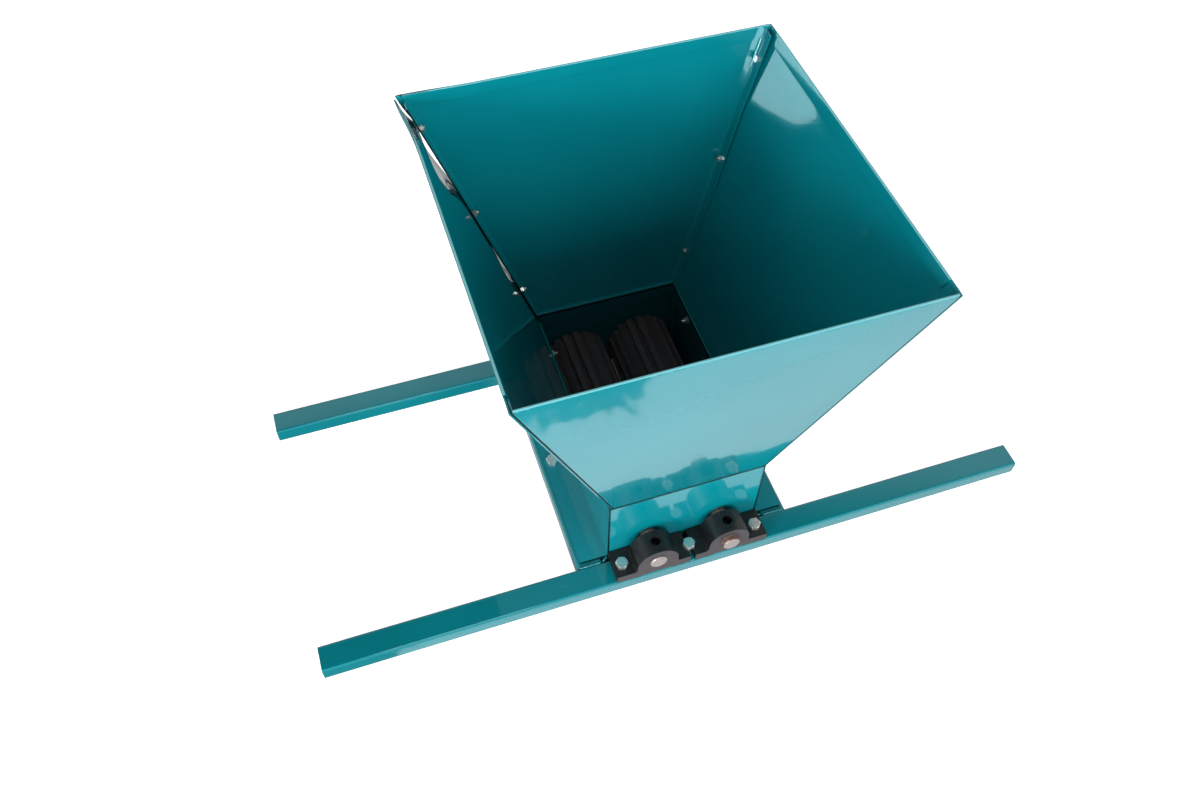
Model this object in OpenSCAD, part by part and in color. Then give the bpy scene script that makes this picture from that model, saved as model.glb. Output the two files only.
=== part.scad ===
// Two-roller hand grape crusher: a tube frame that lies over a tub, a box with two fluted
// rollers in cast bearing blocks, and a square sheet hopper. Millimetres, +Z up. X runs along
// the rails, Y across them. The origin is the middle of the frame on the plane it rests on.

/* [Frame] */
// length of the front and the rear rail
rail_length = 840; // [700:10:1000]
// distance between the centre lines of the two rails
rail_spacing = 320; // [300:5:380]
// width of the rail and cross tubes
tube_width = 30; // [28:1:34]
// height of the rail and cross tubes
tube_height = 20; // [20:1:26]
// wall of the tubes
tube_wall = 2; // [1.5:0.5:2.5]
// outside edge radius of the tubes
tube_edge = 3; // [2.5:0.5:4]
// distance from a box side wall to the centre line of its cross tube
cross_tube_offset = 22.5; // [20:0.5:28]

/* [Crusher box] */
// outside width of the box across its side walls
box_width = 180; // [176:2:200]
// height of the box's top edge above the floor
box_top = 128; // [124:1:150]
// sheet thickness of the box walls
box_wall = 2; // [1.5:0.5:2.5]
// height of the end walls' lower edge above the floor
box_bottom = 5; // [3:1:15]
// width of the end walls' returns along the side walls
wall_return = 12; // [8:0.5:16]
// diameter of the end walls' openings for the shafts
shaft_opening = 24; // [22:1:28]

/* [Hopper] */
// outside width of the rim along X
rim_width = 400; // [340:5:440]
// outside length of the rim along Y
rim_length = 400; // [360:5:440]
// height of the rim above the floor
rim_height = 430; // [360:5:480]
// sheet thickness of the hopper
sheet = 1.5; // [1:0.1:2]
// depth of the collar that stands in the box
collar_depth = 22; // [18:1:26]
// width of the corner flanges on the front and back sheets
corner_flange = 15.5; // [14:0.5:22]
// height of the folded hem at the rim
hem_height = 12; // [8:0.5:16]

/* [Rollers] */
// gap between the ribs of the two rollers
roller_gap = 7; // [5:0.5:10]
// gap between a roller's ribs and the box wall beside it
roller_side_gap = 6.5; // [5:0.5:10]
// shaft diameter
shaft_d = 20; // [18:1:22]
// height of the shafts above the rails
axis_rise = 25; // [25:0.5:30]
// number of ribs round a roller
rib_count = 18; // [12:1:20]
// depth of the grooves between the ribs
flute_depth = 4.5; // [3:0.5:6]

/* [Bearing blocks] */
// depth of a block along its shaft
block_depth = 34; // [30:1:34]
// thickness of the ears under the bolts
ear_height = 12; // [10:0.5:14]
// outside diameter of the hub
hub_d = 48; // [46:0.5:49]
// length of the hub along its shaft, from the outer face
hub_depth = 28; // [24:1:32]
// distance of the hub's round top's centre below the shaft
hub_drop = 4; // [0:0.5:5]
// distance of the outer bolts from the middle bolt
bolt_spacing = 80; // [78:0.5:84]
// gap between the two neighbouring blocks
block_gap = 6; // [4:0.5:8]
// outside diameter of the grease boss
boss_d = 18; // [15:0.5:20]
// diameter of the grease hole
grease_hole_d = 11; // [6:0.5:12]

/* [Gears] */
// number of teeth on each gear
gear_teeth = 34; // [30:1:38]
// width of the teeth along the shaft
gear_width = 18; // [12:1:20]

/* [Crank] */
// distance from the shaft to the grip
crank_radius = 180; // [140:5:200]
// thickness of the crank arm
arm_thickness = 8; // [6:1:10]
// width of the crank arm
arm_width = 24; // [18:1:28]
// diameter of the grip
grip_d = 30; // [26:1:34]
// length of the grip
grip_length = 100; // [80:5:120]

/* [Hidden] */
$fn = 64;
// running fit between a shaft and its bore, per side
fit = 0.05;
// gap between sheets that lie on each other
seam_gap = 0.3;
// frame
rail_y = rail_spacing / 2;
rail_in = rail_y - tube_width / 2;
rail_out = rail_y + tube_width / 2;
// box
box_x = box_width / 2;
box_y = rail_in - 5;
box_in_x = box_x - box_wall;
box_in_y = box_y - box_wall;
cross_x = box_x + cross_tube_offset;
flange_top = tube_height + box_wall;
flange_end = cross_x + tube_width / 2 - 5;
axis_z = tube_height + axis_rise;
// the rollers fill the width that their gaps leave
shaft_spacing = (2 * box_in_x - 2 * roller_side_gap + roller_gap) / 2;
roller_d = shaft_spacing - roller_gap;
axis_x = shaft_spacing / 2;
// hopper: inner planes at the foot (z = foot_z) and at the rim
foot_z = box_top + 0.2 + sheet;
foot_x = box_in_x - 0.4;
foot_y = box_y + 0.5;
side_slope = atan((rim_width / 2 - 2 - foot_x) / (rim_height - foot_z));
front_slope = atan((rim_length / 2 - 2 - foot_y) / (rim_height - foot_z));
slant_z = rim_height - sheet - foot_z;
side_slant = slant_z / cos(side_slope);
front_slant = slant_z / cos(front_slope);
collar_z = box_top - collar_depth;
collar_x = box_in_x - 0.3;
collar_y = box_in_y - 0.3;
collar_in = collar_x - sheet;
// fasteners
m8 = 8;
m8_af = 13;
m8_head = 5.3;
m6 = 6;
m6_af = 10;
m6_head = 4;
m4 = 4;
m4_af = 7;
m4_head = 2.8;
m4_nut = 3.2;
collar_bolt_y = box_y * 3 / 5;
collar_bolt_z = box_top - 10;
collar_washer = 0.8;
// places of the seam bolts up the slant, as shares of it
seam_places_front = [0.12, 0.5, 0.88];
seam_places_back = [0.15, 0.53, 0.895];
seam_inset = corner_flange / 2;
// rollers
roller_end = box_in_y - 3;
pin_d = 8;
roller_pin_inset = 25;
roller_pin_y = roller_end - roller_pin_inset;
pin_length = roller_d / 2 - flute_depth + shaft_d / 2 + 4;
// blocks reach from the rail's outer edge to 1 mm before the box
block_out = box_y + 1 + block_depth;
block_end = bolt_spacing + 10;
ear_top = tube_height + ear_height;
hub_z = axis_z - hub_drop;
hub_y = hub_depth / 2 - block_out;
hub_foot = 3;
boss_rise = 1.5;
boss_top = hub_z + hub_d / 2 + boss_rise;
// how far the shafts stand out of the front blocks
drive_stub = 6;
idler_stub = 2;
relief_width = 35;
relief_height = 1.5;
// gears, module and radii
gear_m = shaft_spacing / gear_teeth;
gear_tip = axis_x + 0.76 * gear_m;
gear_root = axis_x - gear_m;
gear_y = block_out + 3;
gear_hub_d = shaft_d + 16;
gear_hub_end = gear_y + gear_width + 10;
gear_pin_d = 6;
// crank
crank_gap = 2;
crank_hub_length = 22;
crank_hub_wall = 7;
crank_hub_y = gear_hub_end + crank_gap;
crank_hub_end = crank_hub_y + crank_hub_length;
crank_hub_d = shaft_d + 2 * crank_hub_wall;
arm_setback = 4;
arm_y = crank_hub_y + arm_setback;
set_screw_inset = 5;
arm_out = arm_y + arm_thickness;
spindle_d = 10;
grip_y = arm_out + 1;
grip_end = grip_y + grip_length;
// the crank hangs with its grip just above the floor
crank_turn = 90 + asin((axis_z - grip_d / 2 - 0.3) / crank_radius);

teal = [0.0, 0.48, 0.5];
black = [0.06, 0.06, 0.07];
iron = [0.16, 0.16, 0.17];
zinc = [0.75, 0.76, 0.78];
steel = [0.55, 0.53, 0.5];

// a cylinder along Y from y0 to y1
module rod_y(d, y0, y1) {
    translate([0, y0, 0])
        rotate([-90, 0, 0])
            cylinder(d = d, h = y1 - y0);
}

// a hexagonal prism from z = 0 upwards
module hexagon(af, h) {
    cylinder(d = af / cos(30), h = h, $fn = 6);
}

// a bolt with its head above z = 0 and its shank below
module bolt(d, af, head, reach) {
    hexagon(af, head);
    translate([0, 0, -reach])
        cylinder(d = d - 2 * fit, h = reach + head / 2);
}

// a nut from z = 0 upwards
module nut(d, af, h) {
    difference() {
        hexagon(af, h);
        translate([0, 0, -1])
            cylinder(d = d, h = h + 2);
    }
}

// the outline of a rectangle with rounded corners, centred
function rounded(w, h, r) = [
    for (c = [[1, 1, 0], [-1, 1, 90], [-1, -1, 180], [1, -1, 270]])
        for (a = [0 : 22.5 : 90])
            [c[0] * (w / 2 - r) + r * cos(c[2] + a), c[1] * (h / 2 - r) + r * sin(c[2] + a)]
];

// a rectangular tube along X, centred on X and Y, standing on z = 0
module tube(length) {
    translate([-length / 2, 0, tube_height / 2])
        rotate([90, 0, 90])
            linear_extrude(length)
                difference() {
                    polygon(rounded(tube_width, tube_height, tube_edge));
                    polygon(rounded(tube_width - 2 * tube_wall, tube_height - 2 * tube_wall,
                                    tube_edge - tube_wall + 0.2));
                }
}

// places of the block bolts along a rail
module at_block_bolts() {
    for (x = [-bolt_spacing, 0, bolt_spacing])
        translate([x, 0, 0])
            children();
}

module rail(side) {
    color(teal)
        difference() {
            translate([0, side * rail_y, 0])
                tube(rail_length);
            translate([0, side * rail_y, tube_height / 2])
                at_block_bolts()
                    cylinder(d = m8 + 0.6, h = tube_height);
        }
}

module front_rail() {
    rail(-1);
}

module rear_rail() {
    rail(1);
}

// plates set flush in the four tube ends
module rail_end_plates() {
    color(teal)
        for (side = [-1, 1])
            for (end = [-1, 1])
                translate([end * (rail_length / 2 - 1) - 1, side * rail_y, tube_height / 2])
                    rotate([90, 0, 90])
                        linear_extrude(2)
                            polygon(rounded(tube_width - 2 * tube_wall - 0.2,
                                            tube_height - 2 * tube_wall - 0.2,
                                            tube_edge - tube_wall + 0.2));
}

module cross_tube(side) {
    color(teal)
        difference() {
            translate([side * cross_x, 0, 0])
                rotate([0, 0, 90])
                    tube(2 * rail_in);
            translate([side * cross_x, 0, tube_height / 2])
                cylinder(d = m8 + 0.6, h = tube_height);
        }
}

module left_cross_tube() {
    cross_tube(-1);
}

module right_cross_tube() {
    cross_tube(1);
}

// nuts welded under the tubes' top walls
module weld_nuts() {
    color(zinc) {
        for (side = [-1, 1])
            translate([0, side * rail_y, tube_height - tube_wall - 6.5])
                at_block_bolts()
                    nut(m8, m8_af, 6.5);
        for (side = [-1, 1])
            translate([side * cross_x, 0, tube_height - tube_wall - 6.5])
                nut(m8, m8_af, 6.5);
    }
}

// an end wall between the side walls, with returns that lie against them
module end_wall(side) {
    color(teal)
        difference() {
            union() {
                translate([-box_in_x + 0.2, side < 0 ? -box_y : box_in_y, box_bottom])
                    cube([2 * box_in_x - 0.4, box_wall, box_top - box_bottom]);
                for (end = [-1, 1])
                    translate([end < 0 ? -box_in_x + 0.2 : box_in_x - 0.2 - box_wall,
                               side < 0 ? -box_in_y - box_wall / 2 : box_in_y - wall_return,
                               box_bottom])
                        cube([box_wall, wall_return + box_wall / 2, collar_z - 3 - box_bottom]);
            }
            for (end = [-1, 1])
                translate([end * axis_x, side * box_in_y, axis_z])
                    rod_y(shaft_opening, -10, 10);
        }
}

module box_front_wall() {
    end_wall(-1);
}

module box_rear_wall() {
    end_wall(1);
}

// a side wall with its base flange on the cross tube
module side_wall(side) {
    color(teal)
        difference() {
            translate([0, box_y, 0])
                rotate([90, 0, 0])
                    linear_extrude(2 * box_y)
                        polygon([[side * box_in_x, tube_height],
                                 [side * flange_end, tube_height],
                                 [side * flange_end, flange_top],
                                 [side * box_x, flange_top],
                                 [side * box_x, box_top],
                                 [side * box_in_x, box_top]]);
            translate([side * cross_x, 0, tube_height - 1])
                cylinder(d = m8 + 1, h = box_wall + 2);
            for (end = [-1, 1])
                translate([side * box_x, end * collar_bolt_y, collar_bolt_z])
                    rotate([0, 90, 0])
                        cylinder(d = m4 + 0.5, h = 20, center = true);
        }
}

module box_left_wall() {
    side_wall(-1);
}

module box_right_wall() {
    side_wall(1);
}

// bolts down through the base flanges
module box_bolts() {
    color(zinc)
        for (side = [-1, 1])
            translate([side * cross_x, 0, flange_top])
                rotate([0, 0, 10])
                    bolt(m8, m8_af, m8_head, flange_top - tube_height / 2);
}

// puts the children on a hopper wall: x along the wall, y up its slant, z outwards
module on_wall(turn, foot, slope) {
    rotate([0, 0, turn])
        translate([0, -foot, foot_z])
            rotate([90 + slope, 0, 0])
                children();
}

module on_side(side) {
    on_wall(side > 0 ? 90 : 270, foot_x, side_slope)
        children();
}

module on_front(side) {
    on_wall(side > 0 ? 180 : 0, foot_y, front_slope)
        children();
}

// half distance between the side sheets' inner planes, at a slant place on the front sheet
function wide(v) = foot_x + v * cos(front_slope) * tan(side_slope);

// half distance between the front and back sheets' inner planes, at a slant place on a side
function long(v) = foot_y + v * cos(side_slope) * tan(front_slope);

// the folded hem: a flap on the inner face and a half round over the top edge
module hem(slant, half_low, half_high) {
    translate([0, 0, -sheet])
        linear_extrude(1.5 * sheet)
            polygon([[-half_low, slant - hem_height], [half_low, slant - hem_height],
                     [half_high, slant], [-half_high, slant]]);
    translate([-half_high, slant, 0])
        rotate([90, 0, 90])
            linear_extrude(2 * half_high)
                polygon([for (p = [[-sheet, -0.7 * sheet], [-sheet, 0.7 * sheet]]) p,
                         for (a = [0 : 22.5 : 180]) sheet * [sin(a), cos(a)]]);
}

module front_sheet(side) {
    color(teal)
        difference() {
            union() {
                on_front(side) {
                    linear_extrude(sheet)
                        polygon([[-wide(-1) + 0.25, -1], [wide(-1) - 0.25, -1],
                                 [wide(front_slant) - 0.25, front_slant],
                                 [-wide(front_slant) + 0.25, front_slant]]);
                    hem(front_slant, wide(front_slant - hem_height) - sheet - 0.6,
                        wide(front_slant) - sheet - 0.6);
                }
                // ledge on the box's top edge, and the collar in the box
                translate([-foot_x + 0.4, side > 0 ? collar_y - sheet : -foot_y - sheet, box_top + 0.2])
                    cube([2 * foot_x - 0.8, foot_y + 2 * sheet - collar_y, sheet]);
                translate([-foot_x + 0.4, side > 0 ? collar_y - sheet : -collar_y, collar_z])
                    cube([2 * foot_x - 0.8, sheet, collar_depth + 1]);
                // corner flanges along the side sheets
                for (end = [-1, 1])
                    on_side(end)
                        translate([0, 0, -seam_gap - sheet])
                            linear_extrude(sheet)
                                polygon([for (p = [[0.8, 2], [-corner_flange, 2],
                                                   [-corner_flange, side_slant - hem_height - 1],
                                                   [0.8, side_slant - hem_height - 1]])
                                         [side * end * (long(p[1]) + p[0]), p[1]]]);
            }
            seam_holes();
        }
}

// puts the children at the seam bolts, with z outwards from the side sheet's inner plane
module at_seams() {
    for (side = [-1, 1])
        for (end = [-1, 1])
            for (k = side * end > 0 ? seam_places_back : seam_places_front)
                on_side(side)
                    translate([end * (long(k * side_slant) - seam_inset), k * side_slant, 0])
                        children();
}

module seam_holes() {
    at_seams()
        cylinder(d = m4 + 0.5, h = 12, center = true);
}

module hopper_front_sheet() {
    front_sheet(-1);
}

module hopper_back_sheet() {
    front_sheet(1);
}

module side_sheet(side) {
    color(teal)
        difference() {
            union() {
                on_side(side) {
                    linear_extrude(sheet)
                        polygon([[-long(-1) - sheet, -1], [long(-1) + sheet, -1],
                                 [long(side_slant) + sheet, side_slant],
                                 [-long(side_slant) - sheet, side_slant]]);
                    hem(side_slant, long(side_slant - hem_height) - 0.4, long(side_slant) - 0.4);
                }
                translate([side > 0 ? collar_x - sheet : -foot_x - sheet, -collar_y + sheet + 0.3,
                           box_top + 0.2])
                    cube([foot_x + 2 * sheet - collar_x, 2 * (collar_y - sheet - 0.3), sheet]);
                translate([side > 0 ? collar_x - sheet : -collar_x, -collar_y + sheet + 0.3,
                           collar_z])
                    cube([sheet, 2 * (collar_y - sheet - 0.3), collar_depth + 1]);
            }
            seam_holes();
            for (end = [-1, 1])
                translate([side * collar_x, end * collar_bolt_y, collar_bolt_z])
                    rotate([0, 90, 0])
                        cylinder(d = m4 + 0.5, h = 10, center = true);
        }
}

module hopper_left_sheet() {
    side_sheet(-1);
}

module hopper_right_sheet() {
    side_sheet(1);
}

module seam_bolts() {
    color(zinc)
        at_seams()
            translate([0, 0, sheet])
                rotate([0, 0, 15])
                    bolt(m4, m4_af, m4_head, 2 * sheet + seam_gap + m4_nut + 2.5);
}

module seam_nuts() {
    color(zinc)
        at_seams()
            translate([0, 0, -seam_gap - sheet - m4_nut])
                nut(m4, m4_af, m4_nut);
}

// puts the children at the collar bolts, with z outwards from the box's side wall
module at_collar_bolts() {
    for (side = [-1, 1])
        for (end = [-1, 1])
            translate([side * box_x, end * collar_bolt_y, collar_bolt_z])
                rotate([0, side * 90, 0])
                    children();
}

module collar_bolts() {
    color(zinc)
        at_collar_bolts()
            bolt(m4, m4_af, m4_head, box_x - collar_in + collar_washer + m4_nut + 4);
}

module collar_washers() {
    color(zinc)
        at_collar_bolts()
            translate([0, 0, collar_in - box_x - collar_washer])
                difference() {
                    cylinder(d = 2.25 * m4, h = collar_washer);
                    translate([0, 0, -1])
                        cylinder(d = m4 + 0.3, h = collar_washer + 2);
                }
}

module collar_nuts() {
    color(zinc)
        at_collar_bolts()
            translate([0, 0, collar_in - box_x - collar_washer - m4_nut])
                nut(m4, m4_af, m4_nut);
}

// a bearing hub with a round top, upright sides and a widened foot, and the boss on it
module hub() {
    difference() {
        union() {
            translate([axis_x, 0, hub_z])
                rod_y(hub_d, -block_out, -block_out + hub_depth);
            translate([axis_x, -block_out + hub_depth, 0])
                rotate([90, 0, 0])
                    linear_extrude(hub_depth)
                        polygon([[-hub_d / 2 - hub_foot, ear_top - 1],
                                 [hub_d / 2 + hub_foot, ear_top - 1],
                                 [hub_d / 2, ear_top + hub_foot], [hub_d / 2, hub_z],
                                 [-hub_d / 2, hub_z], [-hub_d / 2, ear_top + hub_foot]]);
            translate([axis_x, hub_y, hub_z])
                cylinder(d = boss_d, h = boss_top - hub_z);
        }
        // the round part ends above the rail
        translate([axis_x - hub_d, -block_out - 1, 0])
            cube([2 * hub_d, block_depth + 2, ear_top - 2]);
    }
}

// the block on the front rail that carries the right-hand shaft
module bearing_block() {
    difference() {
        union() {
            translate([block_gap / 2, -block_out, tube_height])
                cube([block_end - block_gap / 2, block_depth, ear_height]);
            hub();
        }
        translate([axis_x, 0, axis_z])
            rod_y(shaft_d + 2 * fit, -block_out - 1, -block_out + block_depth + 1);
        translate([axis_x, hub_y, axis_z])
            cylinder(d = grease_hole_d, h = hub_d);
        for (x = [0, bolt_spacing])
            translate([x, -rail_y, tube_height - 1])
                cylinder(d = m8 + 1, h = ear_height + 2);
        // relief under the hub
        translate([axis_x - relief_width / 2, -block_out - 1, tube_height - 1])
            cube([relief_width, block_depth + 2, relief_height + 1]);
    }
}

module bearing_block_front_left() {
    color(iron)
        mirror([1, 0, 0])
            bearing_block();
}

module bearing_block_front_right() {
    color(iron)
        bearing_block();
}

module bearing_block_rear_left() {
    color(iron)
        rotate([0, 0, 180])
            bearing_block();
}

module bearing_block_rear_right() {
    color(iron)
        mirror([0, 1, 0])
            bearing_block();
}

// bolts down through the blocks' ears, the middle one over both blocks
module bearing_bolts() {
    color(zinc)
        for (side = [-1, 1])
            translate([0, side * rail_y, ear_top])
                at_block_bolts()
                    bolt(m8, m8_af, m8_head, ear_top - tube_height / 2);
}

// a shaft with chamfered ends
module shaft(x, y0, y1) {
    translate([x, 0, axis_z]) {
        rod_y(shaft_d, y0 + 1, y1 - 1);
        translate([0, y0, 0])
            rotate([-90, 0, 0])
                cylinder(d1 = shaft_d - 2, d2 = shaft_d, h = 1);
        translate([0, y1 - 1, 0])
            rotate([-90, 0, 0])
                cylinder(d1 = shaft_d, d2 = shaft_d - 2, h = 1);
    }
}

// puts the children at the two roller pins, which enter from below
module at_roller_pins(x) {
    for (end = [-1, 1])
        translate([x, end * roller_pin_y, axis_z - roller_d / 2 + flute_depth + 2])
            children();
}

module drive_shaft() {
    color(steel)
        difference() {
            shaft(axis_x, -block_out - drive_stub, crank_hub_end - 6);
            at_roller_pins(axis_x)
                cylinder(d = pin_d + 2 * fit, h = pin_length + 1);
            translate([axis_x, gear_hub_end - 5, axis_z])
                cylinder(d = gear_pin_d + 2 * fit, h = 2 * shaft_d, center = true);
        }
}

module idler_shaft() {
    color(steel)
        difference() {
            shaft(-axis_x, -block_out - idler_stub, gear_hub_end);
            at_roller_pins(-axis_x)
                cylinder(d = pin_d + 2 * fit, h = pin_length + 1);
            translate([-axis_x, gear_hub_end - 5, axis_z])
                cylinder(d = gear_pin_d + 2 * fit, h = 2 * shaft_d, center = true);
        }
}

// outline of a fluted roller: flat rib tops and round-bottomed grooves
module roller_outline(turn) {
    r = roller_d / 2;
    pitch = 360 / rib_count;
    polygon([for (k = [0 : rib_count - 1])
                 for (p = [[-0.25, 0], [0, 0], [0.25, 0], [0.31, 0.35], [0.39, 0.82], [0.5, 1],
                           [0.61, 0.82], [0.69, 0.35]])
                     (r - p[1] * flute_depth)
                     * [sin((k + p[0]) * pitch + turn), cos((k + p[0]) * pitch + turn)]]);
}

module roller(x, turn) {
    color(black)
        difference() {
            translate([x, roller_end, axis_z])
                rotate([90, 0, 0])
                    linear_extrude(2 * roller_end)
                        roller_outline(turn);
            translate([x, 0, axis_z])
                rod_y(shaft_d + 2 * fit, -roller_end - 1, roller_end + 1);
            at_roller_pins(x)
                translate([0, 0, -10])
                    cylinder(d = pin_d + 2 * fit, h = pin_length + 10.5);
        }
}

module drive_roller() {
    roller(axis_x, 19.5);
}

module idler_roller() {
    roller(-axis_x, 3);
}

module drive_roller_pins() {
    color(steel)
        at_roller_pins(axis_x)
            cylinder(d = pin_d, h = pin_length);
}

module idler_roller_pins() {
    color(steel)
        at_roller_pins(-axis_x)
            cylinder(d = pin_d, h = pin_length);
}

// half the angle of a tooth at radius r, on involute flanks with a 20 degree pressure angle
function involute(c) = sqrt(1 / (c * c) - 1) * 180 / PI - acos(c);
function tooth_half(r) = 0.9167 * 90 / gear_teeth
    + involute(cos(20)) - involute(min(0.99999, axis_x * cos(20) / r));

// a gear with a hub, its first tooth at the angle first from +Z towards +X
module gear(x, first) {
    radii = [gear_root, gear_root + 0.35 * (gear_tip - gear_root),
             gear_root + 0.7 * (gear_tip - gear_root), gear_tip];
    color(steel)
        difference() {
            union() {
                translate([x, gear_y + gear_width, axis_z])
                    rotate([90, 0, 0])
                        linear_extrude(gear_width)
                            polygon([for (k = [0 : gear_teeth - 1])
                                         for (q = [-4, -3, -2, -1, 1, 2, 3, 4])
                                             let (r = radii[4 - abs(q)],
                                                  a = first + k * 360 / gear_teeth
                                                      + sign(q) * tooth_half(r))
                                                 r * [sin(a), cos(a)]]);
                translate([x, 0, axis_z])
                    rod_y(gear_hub_d, gear_y + 1, gear_hub_end);
            }
            translate([x, 0, axis_z])
                rod_y(shaft_d + 2 * fit, gear_y - 1, gear_hub_end + 1);
            translate([x, gear_hub_end - 5, axis_z])
                cylinder(d = gear_pin_d + 2 * fit, h = 3 * shaft_d, center = true);
        }
}

module drive_gear() {
    gear(axis_x, 270);
}

module idler_gear() {
    gear(-axis_x, 90 + 180 / gear_teeth);
}

module gear_pin(x) {
    color(zinc)
        translate([x, gear_hub_end - 5, axis_z])
            cylinder(d = gear_pin_d, h = gear_hub_d - 1, center = true);
}

module drive_gear_pin() {
    gear_pin(axis_x);
}

module idler_gear_pin() {
    gear_pin(-axis_x);
}

// puts the children on the crank: z along the arm, y outwards along the shaft
module on_crank() {
    translate([axis_x, 0, axis_z])
        rotate([0, crank_turn, 0])
            children();
}

module crank_arm() {
    color(teal)
        on_crank()
            difference() {
                union() {
                    rod_y(crank_hub_d, crank_hub_y, crank_hub_end);
                    translate([-arm_width / 2, arm_y, 0])
                        cube([arm_width, arm_thickness, crank_radius]);
                    translate([0, 0, crank_radius])
                        rod_y(arm_width + 4, arm_y, arm_out);
                }
                rod_y(shaft_d + 2 * fit, crank_hub_y - 1, crank_hub_end + 1);
                translate([0, 0, crank_radius])
                    rod_y(m8 + 2 * fit, arm_y - 1, arm_out + 1);
                // seat and hole of the set screw, on the far side from the arm
                translate([0, crank_hub_end - set_screw_inset, -crank_hub_d / 2 - 1])
                    cylinder(d = m6 + 2 * fit, h = crank_hub_d / 2);
                translate([0, crank_hub_end - set_screw_inset, -crank_hub_d / 2 - 1])
                    cylinder(d = m6_af / cos(30) + 1, h = 2);
            }
}

module crank_screw() {
    color(zinc)
        on_crank()
            translate([0, crank_hub_end - set_screw_inset, -crank_hub_d / 2 + 1])
                rotate([180, 0, 0])
                    bolt(m6, m6_af, m6_head, crank_hub_d / 2 - 1 - shaft_d / 2 - fit);
}

module crank_spindle() {
    color(zinc)
        on_crank()
            translate([0, 0, crank_radius]) {
                rod_y(m8, arm_y - 8.5, arm_out + 1);
                rod_y(spindle_d, arm_out, grip_end + 1);
                rod_y(spindle_d + 8, grip_end + 0.3, grip_end + 5);
            }
}

module crank_spindle_nut() {
    color(zinc)
        on_crank()
            translate([0, arm_y - 6.5, crank_radius])
                rotate([-90, 0, 0])
                    nut(m8 + 2 * fit, m8_af, 6.5);
}

module crank_grip() {
    color(black)
        on_crank()
            translate([0, 0, crank_radius])
                difference() {
                    union() {
                        rod_y(grip_d, grip_y + 3, grip_end - 3);
                        translate([0, grip_y, 0])
                            rotate([-90, 0, 0])
                                cylinder(d1 = grip_d - 6, d2 = grip_d, h = 3);
                        translate([0, grip_end - 3, 0])
                            rotate([-90, 0, 0])
                                cylinder(d1 = grip_d, d2 = grip_d - 6, h = 3);
                    }
                    rod_y(spindle_d + 0.16, grip_y - 1, grip_end + 1);
                }
}

front_rail();
rear_rail();
rail_end_plates();
left_cross_tube();
right_cross_tube();
weld_nuts();
box_front_wall();
box_rear_wall();
box_left_wall();
box_right_wall();
box_bolts();
hopper_front_sheet();
hopper_back_sheet();
hopper_left_sheet();
hopper_right_sheet();
seam_bolts();
seam_nuts();
collar_bolts();
collar_washers();
collar_nuts();
bearing_block_front_left();
bearing_block_front_right();
bearing_block_rear_left();
bearing_block_rear_right();
bearing_bolts();
drive_shaft();
idler_shaft();
drive_roller();
idler_roller();
drive_roller_pins();
idler_roller_pins();
drive_gear();
idler_gear();
drive_gear_pin();
idler_gear_pin();
crank_arm();
crank_screw();
crank_spindle();
crank_spindle_nut();
crank_grip();
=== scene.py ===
import bmesh
import bpy
import math
from mathutils import Matrix, Vector, noise


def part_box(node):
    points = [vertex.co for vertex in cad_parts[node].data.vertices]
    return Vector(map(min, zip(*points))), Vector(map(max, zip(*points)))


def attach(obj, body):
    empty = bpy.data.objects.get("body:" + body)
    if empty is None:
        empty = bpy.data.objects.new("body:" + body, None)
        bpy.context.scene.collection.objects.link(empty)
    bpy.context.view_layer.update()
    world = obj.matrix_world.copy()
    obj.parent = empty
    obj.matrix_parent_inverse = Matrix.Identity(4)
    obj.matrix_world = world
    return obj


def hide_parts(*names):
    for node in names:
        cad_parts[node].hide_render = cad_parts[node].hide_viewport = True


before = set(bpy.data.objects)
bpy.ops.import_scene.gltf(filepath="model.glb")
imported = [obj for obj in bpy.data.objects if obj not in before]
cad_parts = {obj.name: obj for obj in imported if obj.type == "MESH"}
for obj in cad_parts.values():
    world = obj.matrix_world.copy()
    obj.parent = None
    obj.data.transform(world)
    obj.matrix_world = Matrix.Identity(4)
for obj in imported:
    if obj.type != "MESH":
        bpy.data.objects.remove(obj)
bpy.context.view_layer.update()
mm = 0.001

# The camera looks down on the crusher from its front left, from a little over a metre up.
# Lens, place and the slight lean were matched to the rails, the box and the hopper's rim.
around, above, lean = math.radians(-19.594), math.radians(54.193), math.radians(1.346)
backwards = Vector((math.sin(around) * math.cos(above), -math.cos(around) * math.cos(above),
                    math.sin(above)))
level = Vector((0, 0, 1)).cross(backwards).normalized()
upright = backwards.cross(level)
camera = bpy.data.objects.new("camera", bpy.data.cameras.new("camera"))
camera.data.sensor_width = 36
camera.data.lens = 31.815
camera.matrix_world = Matrix((level * math.cos(lean) + upright * math.sin(lean),
                              upright * math.cos(lean) - level * math.sin(lean),
                              backwards)).transposed().to_4x4()
camera.location = (-0.28955, -0.66301, 1.09842)
bpy.context.scene.collection.objects.link(camera)
bpy.context.scene.camera = camera
bpy.context.scene.view_settings.view_transform = "Standard"


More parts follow.
